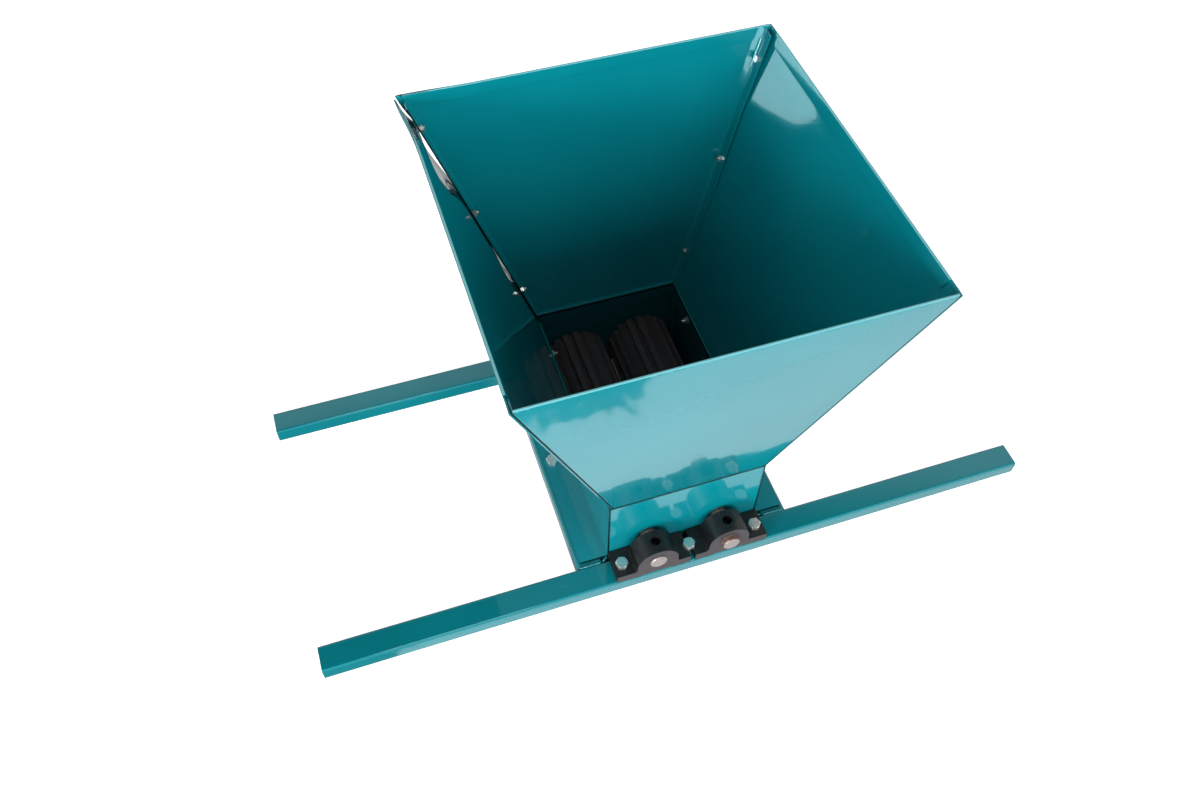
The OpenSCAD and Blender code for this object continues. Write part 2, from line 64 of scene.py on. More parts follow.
# The studio is a white floor that runs into a white backdrop, with a ceiling that falls off
# into the dark. Polished paint mirrors it, so the dark ceiling keeps upward faces deep in colour.
# In that mirror the floor is white paper with ragged edges near the crusher, and dull beyond.
class Wire:
    """One output of a node. Sums written with wires and numbers become Math nodes."""
    def __init__(self, finish, socket):
        self.finish, self.socket = finish, socket

    def sum(self, operation, *values):
        return self.finish.node("ShaderNodeMath", {"operation": operation},
                                dict(enumerate(values)))

    def __add__(self, other):
        return self.sum("ADD", self, other)

    def __radd__(self, other):
        return self.sum("ADD", other, self)

    def __sub__(self, other):
        return self.sum("SUBTRACT", self, other)

    def __rsub__(self, other):
        return self.sum("SUBTRACT", other, self)

    def __mul__(self, other):
        return self.sum("MULTIPLY", self, other)

    def __rmul__(self, other):
        return self.sum("MULTIPLY", other, self)

    def size(self):
        return self.sum("ABSOLUTE", self)

    def limit(self):
        return self.sum("MAXIMUM", self.sum("MINIMUM", self, 1.0), 0.0)

    def step(self, low, high):
        """0 below low and 1 above high, with a soft way between them."""
        return self.finish.node("ShaderNodeMapRange", {"interpolation_type": "SMOOTHSTEP"},
                                {"Value": self, "From Min": low, "From Max": high})


class Finish:
    """The network of nodes that makes up one finish, in a new material or in a given tree."""
    def __init__(self, name, tree=None):
        if tree is None:
            self.material = bpy.data.materials.new(name)
            self.material.use_nodes = True
            tree = self.material.node_tree
        self.tree = tree
        self.shader = tree.nodes.get("Principled BSDF")

    def node(self, kind, settings, values, output=0):
        made = self.tree.nodes.new(kind)
        for name, value in settings.items():
            setattr(made, name, value)
        self.join(made, values)
        return Wire(self, made.outputs[output])

    def join(self, node, values):
        for name, value in values.items():
            if isinstance(value, Wire):
                self.tree.links.new(value.socket, node.inputs[name])
            else:
                node.inputs[name].default_value = value

    def place(self):
        return self.node("ShaderNodeTexCoord", {}, {}, "Object")

    def axes(self, place):
        split = self.node("ShaderNodeSeparateXYZ", {}, {0: place})
        return [Wire(self, out) for out in split.socket.node.outputs]

    def rays(self):
        path = self.node("ShaderNodeLightPath", {}, {})
        return {out.name: Wire(self, out) for out in path.socket.node.outputs}

    def grain(self, place, scale, detail):
        return self.node("ShaderNodeTexNoise", {}, {"Vector": place, "Scale": scale,
                                                    "Detail": detail})

    def between(self, share, first, second):
        """A colour that goes from the first to the second with the share."""
        values = {0: share, 6: first, 7: second}
        return self.node("ShaderNodeMix", {"data_type": "RGBA"}, values, 2)

    def bump(self, height, distance):
        return self.node("ShaderNodeBump", {}, {"Height": height, "Distance": distance,
                                                "Strength": 1.0})


def grey(level):
    return (level, level, level, 1.0)


sky = bpy.data.worlds.new("studio")
bpy.context.scene.world = sky
sky.use_nodes = True
room = Finish("studio", sky.node_tree)
ray = room.rays()
seen = (ray["Is Camera Ray"] + ray["Is Glossy Ray"] + ray["Is Transmission Ray"]).limit()
height = room.axes(room.node("ShaderNodeTexCoord", {}, {}, "Generated"))[2]
mirrored = 0.85 - 0.82 * height.step(0.78, 0.87)
shining = 0.78 - 0.68 * height.step(0.05, 0.95)
lit = mirrored * seen + shining * (1.0 - seen)
backdrop = ray["Is Camera Ray"] + (1.0 - ray["Is Camera Ray"]) * lit
room.join(sky.node_tree.nodes["Background"],
          {"Color": room.between(backdrop, grey(0), grey(1)), "Strength": 1.0})

ground = bmesh.new()
bmesh.ops.create_grid(ground, x_segments=8, y_segments=8, size=9.0)
floor_mesh = bpy.data.meshes.new("floor")
ground.to_mesh(floor_mesh)
ground.free()
floor = bpy.data.objects.new("floor", floor_mesh)
floor.location.z = -0.2 * mm
bpy.context.scene.collection.objects.link(floor)
paper = Finish("paper")
ray = paper.rays()
mirror = (ray["Is Glossy Ray"] + ray["Is Transmission Ray"]).limit()
spot = paper.place()
x, y = paper.axes(spot)[:2]
# Painted shadow: under the box the floor gets no glow, so to the camera it is dark there, as seen
# between the rollers.
shadow_under_box = x.size().step(128 * mm, 112 * mm) * y.size().step(178 * mm, 162 * mm)
ragged = paper.grain(spot, 55.0, 4.0) - 0.5
left_edge = (x + 0.11 * ragged).step(-352 * mm, -318 * mm)
front_edge = (y + 0.10 * ragged + 0.4 * x.step(0.0, 140 * mm)).step(-290 * mm, -262 * mm)
notch = (x.step(-130 * mm, -160 * mm) * y.step(80 * mm, 120 * mm)
         * y.step(160 * mm, 150 * mm))
white = left_edge * front_edge * (1.0 - notch)
dull = mirror * (1.0 - 0.85 * white)
glow = 0.85 * ray["Is Camera Ray"] * (1.0 - shadow_under_box)
paper.join(paper.shader, {"Base Color": paper.between(dull, grey(0.8), grey(0.08)),
                          "Roughness": 0.9, "Specular IOR Level": 0.0, "Emission Strength": 1.0,
                          "Emission Color": paper.between(glow, grey(0), grey(1))})
floor_mesh.materials.append(paper.material)


middle = Vector((0, 0, 200 * mm))


def lamp(name, around, above, away, width, height, power):
    """A soft box at a bearing from the front, in degrees, that faces the crusher's middle."""
    around, above = math.radians(around), math.radians(above)
    light = bpy.data.lights.new(name, "AREA")
    light.shape = "RECTANGLE"
    light.size, light.size_y, light.energy = width, height, power
    made = bpy.data.objects.new(name, light)
    way = Vector((math.sin(around) * math.cos(above), -math.cos(around) * math.cos(above),
                  math.sin(above)))
    made.matrix_world = (Matrix.Translation(middle + way * away)
                         @ way.to_track_quat("Z", "Y").to_matrix().to_4x4())
    made.visible_camera = False
    bpy.context.scene.collection.objects.link(made)
    return made


lamp("left_box", -45, 8, 2.4, 0.75, 0.8, 52)
lamp("top_box", -22, 70, 1.9, 0.5, 0.3, 4)
for wash in (lamp("front_wash", 4, 22, 3.4, 3.2, 1.6, 98),
             lamp("right_wash", 62, 46, 3.0, 1.2, 1.2, 12),
             lamp("left_wash", -82, 26, 3.0, 1.4, 1.4, 14)):
    wash.visible_glossy = False


# The two rails are steel tube of 30 by 20 mm with rounded edges, 840 mm long, and lie over the
# tub's rim. The whole frame is coated in one glossy teal enamel, with a fine orange peel in it.
def srgb(red, green, blue):
    """A colour as a screen shows it, in 0 to 255, turned into the shader's linear one."""
    return (*[(c / 255 / 12.92) if c <= 10 else ((c / 255 + 0.055) / 1.055) ** 2.4
              for c in (red, green, blue)], 1.0)


def enamel(name, deep, light, worn, marks=None):
    """Teal enamel, cloudy between two shades. The worn share adds pale rubs, as on tubes that
    are handled and stacked. Marks give a new colour, and the shares of it that are painted
    shade in gaps and in the throat, which lose the coat and are duller."""
    paint = Finish(name)
    spot = paint.place()
    cloud = paint.grain(spot, 7.0, 3.0).step(0.3, 0.7)
    strokes = paint.node("ShaderNodeMapping", {}, {"Vector": spot, "Scale": (14, 170, 150),
                                                   "Rotation": (0.1, 0.2, 0.5)})
    streak = paint.grain(strokes, 1.0, 4.0).step(0.64, 0.74)
    patch = paint.grain(spot, 34.0, 2.0).step(0.60, 0.72)
    rub = streak * patch * worn
    colour = paint.between(rub, paint.between(cloud, deep, light), srgb(96, 170, 174))
    dulled, coat = rub, 1.0
    if marks:
        # The marks' painted shade also loses the coat and is duller.
        colour, gap_shade, throat_shade = marks(paint, spot, colour)
        dulled, coat = rub + gap_shade + 1.2 * throat_shade, 1.0 - gap_shade - throat_shade
    peel = paint.grain(spot, 420.0, 1.0)
    swell = paint.grain(spot, 60.0, 1.0)
    bumps = paint.bump(1.7 * peel + 5.0 * swell, 0.012 * mm)
    paint.join(paint.shader, {"Base Color": colour, "Roughness": 0.12 + 0.3 * dulled, "IOR": 1.5,
                              "Specular Tint": (0.2, 0.9, 1.0, 1.0), "Coat Weight": coat,
                              "Coat Roughness": 0.03, "Coat IOR": 1.5, "Normal": bumps})
    return paint.material


tube_paint = enamel("tube_enamel", srgb(3, 105, 114), srgb(5, 111, 120), 0.6)


def copied(node):
    """A merged copy of a CAD node's triangles, with its flat faces made whole."""
    shape = bmesh.new()
    shape.from_mesh(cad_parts[node].data)
    bmesh.ops.remove_doubles(shape, verts=shape.verts, dist=0.002 * mm)
    bmesh.ops.dissolve_limit(shape, angle_limit=math.radians(0.4), verts=shape.verts,
                             edges=shape.edges)
    return shape


def ease(shape, width, steps, sharp):
    """Rounds a shape's sharp edges."""
    edges = [e for e in shape.edges
             if len(e.link_faces) == 2 and e.calc_face_angle(0) > math.radians(sharp)]
    bmesh.ops.bevel(shape, geom=edges, offset=width, offset_type="OFFSET", segments=steps,
                    profile=0.5, affect="EDGES", material=-1, clamp_overlap=True)
    return shape


def piece(shape, name, body, slot, material, *nodes, even=True, sharp=33):
    """Makes a shape into an object that rides on a body and stands for CAD nodes."""
    mesh = bpy.data.meshes.new(name)
    shape.to_mesh(mesh)
    shape.free()
    mesh.materials.append(material)
    mesh.shade_smooth()
    mesh.set_sharp_from_angle(angle=math.radians(sharp))
    made = bpy.data.objects.new(name, mesh)
    bpy.context.scene.collection.objects.link(made)
    if even:
        made.modifiers.new("even_normals", "WEIGHTED_NORMAL").keep_sharp = True
    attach(made, body)
    if nodes:
        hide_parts(*nodes)
    return made


for rail in ("front_rail", "rear_rail"):
    piece(ease(copied(rail), 0.5 * mm, 2, 50), rail + "_tube", "frame", "teal_paint", tube_paint,
          rail)
piece(ease(copied("rail_end_plates"), 0.4 * mm, 2, 50), "end_plates", "frame", "teal_paint",
      tube_paint, "rail_end_plates")

# Two cross tubes join the rails, butted and welded between them, and carry the box's base
# flanges. The welds are short runs of small overlapping beads along each joint.
for tube in ("left_cross_tube", "right_cross_tube"):
    piece(ease(copied(tube), 0.4 * mm, 2, 50), tube[:-5], "frame", "teal_paint", tube_paint, tube)


def bead(shape, spot, radius, uneven):
    """One weld bead, a little larger or smaller than its radius."""
    size = radius * (1 + uneven * noise.noise(spot * 900))
    bmesh.ops.create_icosphere(shape, subdivisions=2, radius=size, matrix=Matrix.Translation(spot))


def beads(shape, start, end, radius):
    """A run of overlapping weld beads from start to end."""
    start, end = Vector(start), Vector(end)
    count = int((end - start).length / (1.15 * radius)) + 1
    for k in range(count):
        bead(shape, start.lerp(end, (k + 0.5) / count), radius, 0.22)


welds = bmesh.new()
for side in (-1, 1):
    for end in (-1, 1):
        for x in (99.5, 125.5):
            beads(welds, (side * x * mm, end * 145 * mm, 4 * mm),
                  (side * x * mm, end * 145 * mm, 17 * mm), 1.7 * mm)
        beads(welds, (side * 100 * mm, end * 144.8 * mm, 20 * mm),
              (side * 124 * mm, end * 144.8 * mm, 20 * mm), 1.6 * mm)
        beads(welds, (side * 91 * mm, end * 140 * mm, 19.6 * mm),
              (side * 96.5 * mm, end * 143.5 * mm, 19.4 * mm), 1.5 * mm)
piece(welds, "frame_welds", "frame", "teal_paint", tube_paint, even=False, sharp=180)

# Zinc plated steel is bright but soft in its gloss, with a faint mottle from the plating bath.
# The nuts welded inside the tubes wear it too, though the tubes and the bolts hide them.
def plating(name, dulled):
    zinc = Finish(name)
    spot = zinc.place()
    mottle = zinc.grain(spot, 240.0, 3.0)
    colour = zinc.between(mottle, srgb(196, 204, 200), srgb(236, 239, 236))
    strokes = zinc.node("ShaderNodeMapping", {}, {"Vector": spot, "Scale": (300, 2400, 900)})
    scratch = zinc.grain(strokes, 1.0, 2.0)
    zinc.join(zinc.shader, {"Base Color": colour, "Metallic": 0.85,
                            "Roughness": dulled + 0.16 * mottle,
                            "Normal": zinc.bump(mottle + 0.4 * scratch, 0.05 * mm)})
    return zinc.material


zinc_plate = plating("zinc_plating", 0.14)
hidden_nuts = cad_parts["weld_nuts"]
hidden_nuts.data.materials.clear()
hidden_nuts.data.materials.append(zinc_plate)

# The box is four walls of 2 mm sheet. The end walls stand between the side walls, whose lower
# edges are folded out as flanges over the cross tubes. The hopper stands in it, and their
# sheets share one enamel, so the hopper's foot line and its leans are needed here already.
foot_x, foot_y, foot_z = 87.6 * mm, 140.5 * mm, 129.7 * mm
side_lean, front_lean = math.atan(110.4 / 300.3), math.atan(57.5 / 300.3)


def sheet_marks(paint, spot, colour):
    """Painted shade: black in the gaps between sheets, darker and duller paint in the throat. On
    the rim, a painted highlight over its fold and painted shade on its outer side, but for the
    front."""
    x, y, z = paint.axes(spot)
    out_x, out_y, up = x.size(), y.size(), z - foot_z
    past_side = out_x - foot_x - math.tan(side_lean) * up
    past_front = out_y - foot_y - math.tan(front_lean) * up
    in_box = z.step(130.3 * mm, 129.7 * mm)
    outside = (out_x.step(88.6 * mm, 89.0 * mm) + out_y.step(138.6 * mm, 139.0 * mm)).limit()
    above = z.step(125.0 * mm, 125.6 * mm) + z.step(122.9 * mm, 123.3 * mm) * outside
    # Painted shade: black bands stand for the shadow in the gaps, at the hopper's foot on the box's
    # top edge, in the box's corners, in the hopper's corner seams, and on the left sheet beside the
    # back flange's free edge.
    foot_gap_shade = z.step(129.6 * mm, 129.1 * mm) * above.limit()
    box_corner_shade = (in_box * out_x.step(88.1 * mm, 88.6 * mm)
                  * out_y.step(138.8 * mm, 139.2 * mm))
    hopper_corner_shade = ((1.0 - in_box) * past_side.step(-2.0 * mm, -1.5 * mm)
                     * past_side.step(0.3 * mm, 0.1 * mm) * past_front.step(0.9 * mm, 1.2 * mm))
    flange_slot_shade = (x.step(0.0, -10 * mm) * y.step(0.0, 10 * mm)
                        * past_front.step(-17.8 * mm, -17.2 * mm)
                        * past_front.step(-14.6 * mm, -15.2 * mm)
                        * past_side.step(-2.4 * mm, -2.0 * mm)
                        * past_side.step(1.0 * mm, 0.6 * mm))
    joint_shade = (foot_gap_shade + box_corner_shade + hopper_corner_shade + flange_slot_shade).limit()
    # Painted shade: inside the box, below its top edge, the paint is darker, and also duller
    # without its coat.
    throat_shade = (1.0 - outside) * z.step(129.0 * mm, 128.6 * mm)
    # Painted highlight: the rim's fold is paler. Painted shade: the rim's outer side is darker on
    # the side and back sheets.
    rim = z.step(428.8 * mm, 429.4 * mm)
    outer_back = past_front.step(0.2 * mm, 0.7 * mm) * y.step(0.0, 100 * mm)
    outer = rim * (past_side.step(0.2 * mm, 0.7 * mm) + outer_back).limit()
    # The colour of the painted shade in the throat.
    colour = paint.between(throat_shade, colour, srgb(2, 72, 80))
    # The painted highlight on the rim's fold, then the painted shade on its outer side.
    colour = paint.between(0.5 * rim, colour, srgb(140, 206, 212))
    colour = paint.between(0.85 * outer, colour, srgb(6, 66, 74))
    # The painted shade in the gaps is near black.
    return paint.between(joint_shade, colour, srgb(1, 12, 14)), joint_shade, throat_shade


sheet_paint = enamel("sheet_enamel", srgb(3, 116, 127), srgb(5, 122, 132), 0.0, sheet_marks)
for wall in ("front", "rear", "left", "right"):
    piece(ease(copied(f"box_{wall}_wall"), 0.35 * mm, 2, 50), f"{wall}_wall", "frame",
          "teal_paint", sheet_paint, f"box_{wall}_wall")


# Hexagon bolts and nuts have their corners turned off at 30 degrees. The box bolts go down
# through the flanges into the cross tubes, one at the middle of each.
def hexagon(across, depth, both=False, bore=0.0):
    """A hexagon on z = 0 with chamfered corners on top, or on both faces. A bore is only
    countersunk at each face, because a bolt fills it."""
    shape = bmesh.new()
    corner, flat_circle = across / 2 / math.cos(math.pi / 6), 0.475 * across
    bmesh.ops.create_cone(shape, cap_ends=True, segments=6, radius1=corner, radius2=corner,
                          depth=depth, matrix=Matrix.Translation((0, 0, depth / 2)))
    for top in (1, -1) if both else (1,):
        for k in range(24):
            turn = math.tau * (k + 0.5) / 24
            out = Vector((math.cos(turn), math.sin(turn), 0))
            edge = out * flat_circle + Vector((0, 0, depth if top > 0 else 0))
            face = (out * math.sin(math.radians(30))
                    + Vector((0, 0, top)) * math.cos(math.radians(30)))
            everything = shape.verts[:] + shape.edges[:] + shape.faces[:]
            bmesh.ops.bisect_plane(shape, geom=everything, dist=1e-7, clear_outer=True,
                                   plane_co=edge, plane_no=face)
            bmesh.ops.holes_fill(shape, edges=[e for e in shape.edges if e.is_boundary])
    if bore:
        flats = [f for f in shape.faces if abs(f.normal.z) > 0.999]
        for flat in flats:
            bmesh.ops.inset_individual(shape, faces=[flat],
                                       thickness=flat_circle - bore / 2 - 0.2 * mm)
            bmesh.ops.inset_individual(shape, faces=[flat], thickness=0.2 * mm, depth=-0.3 * mm)
    return shape


def turned(outline, steps=32):
    """A closed profile of (radius, height) pairs spun round the Z axis."""
    shape = bmesh.new()
    points = [shape.verts.new((radius, 0, height)) for radius, height in outline]
    lines = [shape.edges.new(pair) for pair in zip(points, points[1:])]
    bmesh.ops.spin(shape, geom=points + lines, axis=(0, 0, 1), cent=(0, 0, 0), angle=math.tau,
                   steps=steps, use_merge=True)
    bmesh.ops.remove_doubles(shape, verts=shape.verts, dist=0.001 * mm)
    bmesh.ops.recalc_face_normals(shape, faces=shape.faces)
    return shape


def put(shape, part, where):
    """Adds a copy of a part to a shape at a place."""
    loose = bpy.data.meshes.new("copy")
    part.to_mesh(loose)
    have = len(shape.verts)
    shape.from_mesh(loose)
    bpy.data.meshes.remove(loose)
    shape.verts.ensure_lookup_table()
    bmesh.ops.transform(shape, matrix=where, verts=shape.verts[have:])


def hardware(shape, name, node, body="frame", sharp=24):
    """Makes a shape into a zinc plated piece that keeps its flats sharp."""
    piece(shape, name, body, "zinc", zinc_plate, node, even=False, sharp=sharp)


def about_z(degrees):
    return Matrix.Rotation(math.radians(degrees), 4, "Z")


def large_bolt(shape, where, length):
    """Adds an M8 bolt that stands with the underside of its head on a place."""
    shank = [(0, -length), (3.95 * mm, -length), (3.95 * mm, 0.5 * mm), (0, 0.5 * mm)]
    put(shape, hexagon(13 * mm, 5.3 * mm), where)
    put(shape, turned(shank), where)


box_bolts = bmesh.new()
for side in (-1, 1):
    where = Matrix.Translation((side * 112.5 * mm, 0, 22 * mm)) @ about_z(10)
    large_bolt(box_bolts, where, 11.6 * mm)
hardware(box_bolts, "flange_bolts", "box_bolts")

# The hopper is four sheets of 1.5 mm. Each stands in the box with a collar, turns out over the
# box's edge, leans out to the rim, and is folded back on its inner face there as a hem. The
# front and back sheets have flanges along the side sheets, whose hems end short of them.
thick = 1.5 * mm
rise = 298.8 * mm
side_slant, front_slant = rise / math.cos(side_lean), rise / math.cos(front_lean)


def wide(v):
    """Half the distance between the side sheets at a slant place on the front sheet."""
    return foot_x + v * math.cos(front_lean) * math.tan(side_lean)


def long(v):
    """Half the distance between the front and back sheets at a slant place on a side sheet."""
    return foot_y + v * math.cos(side_lean) * math.tan(front_lean)


def ramp(value, low, high):
    """0 below low, 1 above high, with a smooth way between."""
    share = min(1.0, max(0.0, (value - low) / (high - low)))
    return share * share * (3 - 2 * share)


def pulled(rows, columns, along=0):
    """A sheet drawn out row by row from its first edge. A row turns -1 to 1 into a point."""
    places = [2 * k / columns - 1 for k in range(columns + 1)]
    shape = bmesh.new()
    line = [shape.verts.new(rows[0](place)) for place in places]
    edges = [shape.edges.new(pair) for pair in zip(line, line[1:])]
    for row in rows[1:]:
        made = bmesh.ops.extrude_edge_only(shape, edges=edges)["geom"]
        edges = [part for part in made if isinstance(part, bmesh.types.BMEdge)
                 and all(end not in line for end in part.verts)]
        line = sorted({end for edge in edges for end in edge.verts},
                      key=lambda end: end.co[along])
        for point, place in zip(line, places):
            point.co = row(place)
    return shape


def hopper_sheet(foot, lean, slant, collar, collar_half, panel_half, hem_half, swell):
    """One sheet as its middle surface: collar, ledge, leaning panel and hem. Each has its half
    width, and the swell is how far the panel bulges at a place."""
    def on_panel(v, w, half):
        def row(u):
            push = w + (swell(u * half(v), v) if v > 0 else 0.0)
            return Vector((u * half(v), -foot - v * math.sin(lean) - push * math.cos(lean),
                           foot_z + v * math.cos(lean) - push * math.sin(lean)))
        return row

    def flat(out, up, half):
        return lambda u: Vector((u * half, -out, up))

    bend = 1.1 * mm
    knee = on_panel(-0.6 * mm, thick / 2, panel_half)(0)
    rows = [flat(collar, 106 * mm, collar_half), flat(collar, 116 * mm, collar_half)]
    for k in range(4):
        turn = math.pi / 2 * k / 3
        rows.append(flat(collar + bend * (1 - math.cos(turn)),
                         128.95 * mm - bend * (1 - math.sin(turn)), collar_half))
    out = -knee.y
    for k in range(4):
        rows.append(flat(out - 1.4 * mm * (1 - k / 3) ** 2, 128.95 * mm + 0.5 * mm * (k / 3) ** 2,
                         collar_half + (panel_half(0) - collar_half) * k / 3))
    low, steps = 1.2 * mm, 44
    for k in range(steps + 1):
        rows.append(on_panel(low + (slant - low) * k / steps, thick / 2, panel_half))
    for k in range(7):
        turn = math.pi * k / 6
        rows.append(on_panel(slant + 0.72 * mm * math.sin(turn), thick / 2 * math.cos(turn),
                             hem_half))
    for down in (4, 8, 11.6, 12):
        loose = 0.12 * mm if down == 8 else 0
        rows.append(on_panel(slant - down * mm, -thick / 2 - loose, hem_half))
    return pulled(rows, 56)


def flange(slant, end, swell, stand):
    """A corner flange of the front or back sheet with its fold. It lies inside a side sheet,
    and its free edge may stand off that sheet towards the rim."""
    depth, fold, gap = 16.25 * mm, 4.2 * mm, 0.3 * mm + thick / 2
    rows = []

    def strip(reach, sink):
        def row(share):
            v = 2 * mm + (slant - 6 * mm) * (share + 1) / 2
            across = end * (long(v) + thick / 2 - reach)
            off = gap + sink + stand * ramp(v, 60 * mm, 250 * mm) * reach / depth
            push = swell(across, v) - off
            return Vector((across, -foot_x - v * math.sin(side_lean) - push * math.cos(side_lean),
                           foot_z + v * math.cos(side_lean) - push * math.sin(side_lean)))
        return row

    for reach in (depth, depth * 0.66, depth * 0.33):
        rows.append(strip(reach, 0))
    for k in range(7):
        turn = math.radians(86) * k / 6
        rows.append(strip(fold * (1 - math.sin(turn)), fold * (1 - math.cos(turn))))
    return pulled(rows, 30, 2)


def soft(seed, size, u, v, half, slant):
    """Slow unevenness of a thin panel, still at its edges, its foot and its hem."""
    still = (ramp(half - abs(u), 0, 30 * mm) * ramp(v, 0, 25 * mm)
             * ramp(slant - v, 8 * mm, 45 * mm))
    broad = noise.noise(Vector((u * 9 + seed, v * 9, seed)))
    fine = noise.noise(Vector((u * 26, v * 26 + seed, 3 + seed)))
    return size * still * (broad + 0.22 * fine)


def front_swell(u, v):
    return soft(2.3, 0.5 * mm, u, v, wide(v), front_slant)


def back_swell(u, v):
    """The back sheet leans out a little more towards the rim beside its right corner."""
    near = ramp(-u, 10 * mm, 70 * mm)
    down = front_slant - 12 * mm - v
    lean = -0.028 * min(max(down, 0), 60 * mm) * ramp(v, 120 * mm, 235 * mm)
    return soft(7.1, 0.4 * mm, u, v, wide(v), front_slant) + near * lean


def left_swell(u, v):
    """The left sheet stands off the back corner between its bolts, and flares at the rim."""
    near = ramp(-u, long(v) - 110 * mm, long(v))
    share = v / side_slant
    lens = ramp(share, 0.90, 0.84) * ramp(share, 0.58, 0.82)
    low = ramp(share, 0.16, 0.22) * ramp(share, 0.40, 0.28)
    flare = ramp(share, 0.87, 0.96)
    return (soft(4.6, 0.4 * mm, u, v, long(v), side_slant)
            + near ** 2 * mm * (5.6 * lens + 1.3 * low + 5.6 * flare))


def right_swell(u, v):
    """The right sheet is pushed in below its back corner, so that the corner leans out more."""
    near = ramp(u, -15 * mm, 45 * mm)
    down = side_slant - 12 * mm - v
    lean = -0.047 * min(max(down, 0), 66 * mm) * ramp(v, 110 * mm, 232 * mm)
    rim = 0.35 * mm * (1 - 2 * min(max(-down / (12 * mm), 0), 1)) * ramp(v, 240 * mm, 300 * mm)
    return soft(9.4, 0.4 * mm, u, v, long(v), side_slant) + near * (lean + rim)


def flange_swell(u, v):
    """The right corner flanges stay straight at the top and stand off the sheet there."""
    return right_swell(u, min(v, side_slant - 72 * mm))


def folded(shape, name, turn, node):
    """Gives a sheet its thickness and eased edges, and turns it to its side of the hopper."""
    bmesh.ops.transform(shape, matrix=about_z(turn), verts=shape.verts)
    bmesh.ops.recalc_face_normals(shape, faces=shape.faces)
    made = piece(shape, name, "frame", "teal_paint", sheet_paint, node, even=False, sharp=60)
    wall = made.modifiers.new("thickness", "SOLIDIFY")
    wall.thickness, wall.offset = thick, 0.0
    edge = made.modifiers.new("edges", "BEVEL")
    edge.width, edge.segments = 0.3 * mm, 2
    edge.limit_method, edge.angle_limit = "ANGLE", math.radians(60)
    made.modifiers.new("even_normals", "WEIGHTED_NORMAL").keep_sharp = True
    return made


def straight(u, v):
    return 0.0


# The back sheet's left corner reaches out to the side sheet that flares there.
for turn, name, swell in ((0, "front", front_swell), (180, "back", back_swell)):
    panel = hopper_sheet(foot_y, front_lean, front_slant, 136.95 * mm, 87.2 * mm,
                         lambda v: wide(v) - 0.25 * mm, lambda v: wide(v) - 2.1 * mm, swell)
    if name == "back":
        for point in panel.verts:
            near = ramp(point.co.x, 120 * mm, 195 * mm) * ramp(point.co.z, 385 * mm, 422 * mm)
            point.co += near * Vector((5.0 * mm, -2.6 * mm, 0))
    handed = 1 if name == "back" else -1
    for side, end in ((90, handed), (270, -handed)):
        stand = 1.9 * mm if (name, side) == ("back", 90) else 0.0
        fold = flange(side_slant, end, flange_swell if side == 90 else straight, stand)
        put(panel, fold, about_z(side - turn))
        fold.free()
    folded(panel, f"{name}_sheet", turn, f"hopper_{name}_sheet")
for turn, name, swell in ((90, "right", right_swell), (270, "left", left_swell)):
    panel = hopper_sheet(foot_x, side_lean, side_slant, 86.95 * mm, 135.9 * mm,
                         lambda v: long(v) + thick, lambda v: long(v) - 17.5 * mm, swell)
    folded(panel, f"{name}_sheet", turn, f"hopper_{name}_sheet")

# Small zinc bolts hold the corners, three up each seam, with their heads outside on the side
# sheets and their nuts and threaded tips inside. Four more hold the collar in the box.
def threaded(width, tip, end, pitch):
    """The outline of a thread from its tip to its end, as rings of one pitch each."""
    outline = [(0, tip)]
    for k in range(int((end - tip) / pitch)):
        outline += [(width / 2, tip + (k + 0.2) * pitch), (width / 2, tip + (k + 0.35) * pitch),
                    (width / 2 - 0.5 * pitch, tip + (k + 0.8) * pitch)]
    return outline


def small_shank(tip, end):
    """An M4 shank below z = 0, threaded from its tip to an end and plain above it."""
    return turned(threaded(3.9 * mm, tip, end, 0.7 * mm)
                  + [(1.95 * mm, end), (1.95 * mm, 0.5 * mm), (0, 0.5 * mm)], 20)


def on_wall(turn, foot, lean):
    """The place of a hopper wall: X along it, Y up its slant, Z outwards."""
    return (about_z(turn) @ Matrix.Translation((0, -foot, foot_z))
            @ Matrix.Rotation(math.pi / 2 + lean, 4, "X"))


small_head = hexagon(7 * mm, 2.8 * mm)
small_nut = hexagon(7 * mm, 3.2 * mm, True, 4 * mm)
seam_shank = small_shank(-9 * mm, -3 * mm)
seam_heads, seam_nuts = bmesh.new(), bmesh.new()
number = 0
for turn in (90, 270):
    for end in (-1, 1):
        at_back = (turn == 90) == (end > 0)
        for share in ((0.15, 0.53, 0.895) if at_back else (0.12, 0.5, 0.88)):
            number += 1
            v = share * side_slant
            across = end * (long(v) - 7.75 * mm)
            push = (right_swell if turn == 90 else left_swell)(across, v) if at_back else 0.0
            spot = on_wall(turn, foot_x, side_lean) @ Matrix.Translation((across, v, push))
            twist = about_z(15 + 23 * number)
            put(seam_heads, small_head, spot @ Matrix.Translation((0, 0, thick)) @ twist)
            put(seam_heads, seam_shank, spot @ Matrix.Translation((0, 0, thick)))
            low = -5 * mm - push
            if at_back and turn == 90:
                # the flange there stands off its sheet, and the nuts sit on the flange
                low += flange_swell(across, v) - 0.9 * mm * ramp(v, 60 * mm, 250 * mm)
            put(seam_nuts, small_nut, spot @ Matrix.Translation((0, 0, low)) @ twist)
hardware(seam_heads, "corner_bolts", "seam_bolts")
hardware(seam_nuts, "corner_nuts", "seam_nuts")

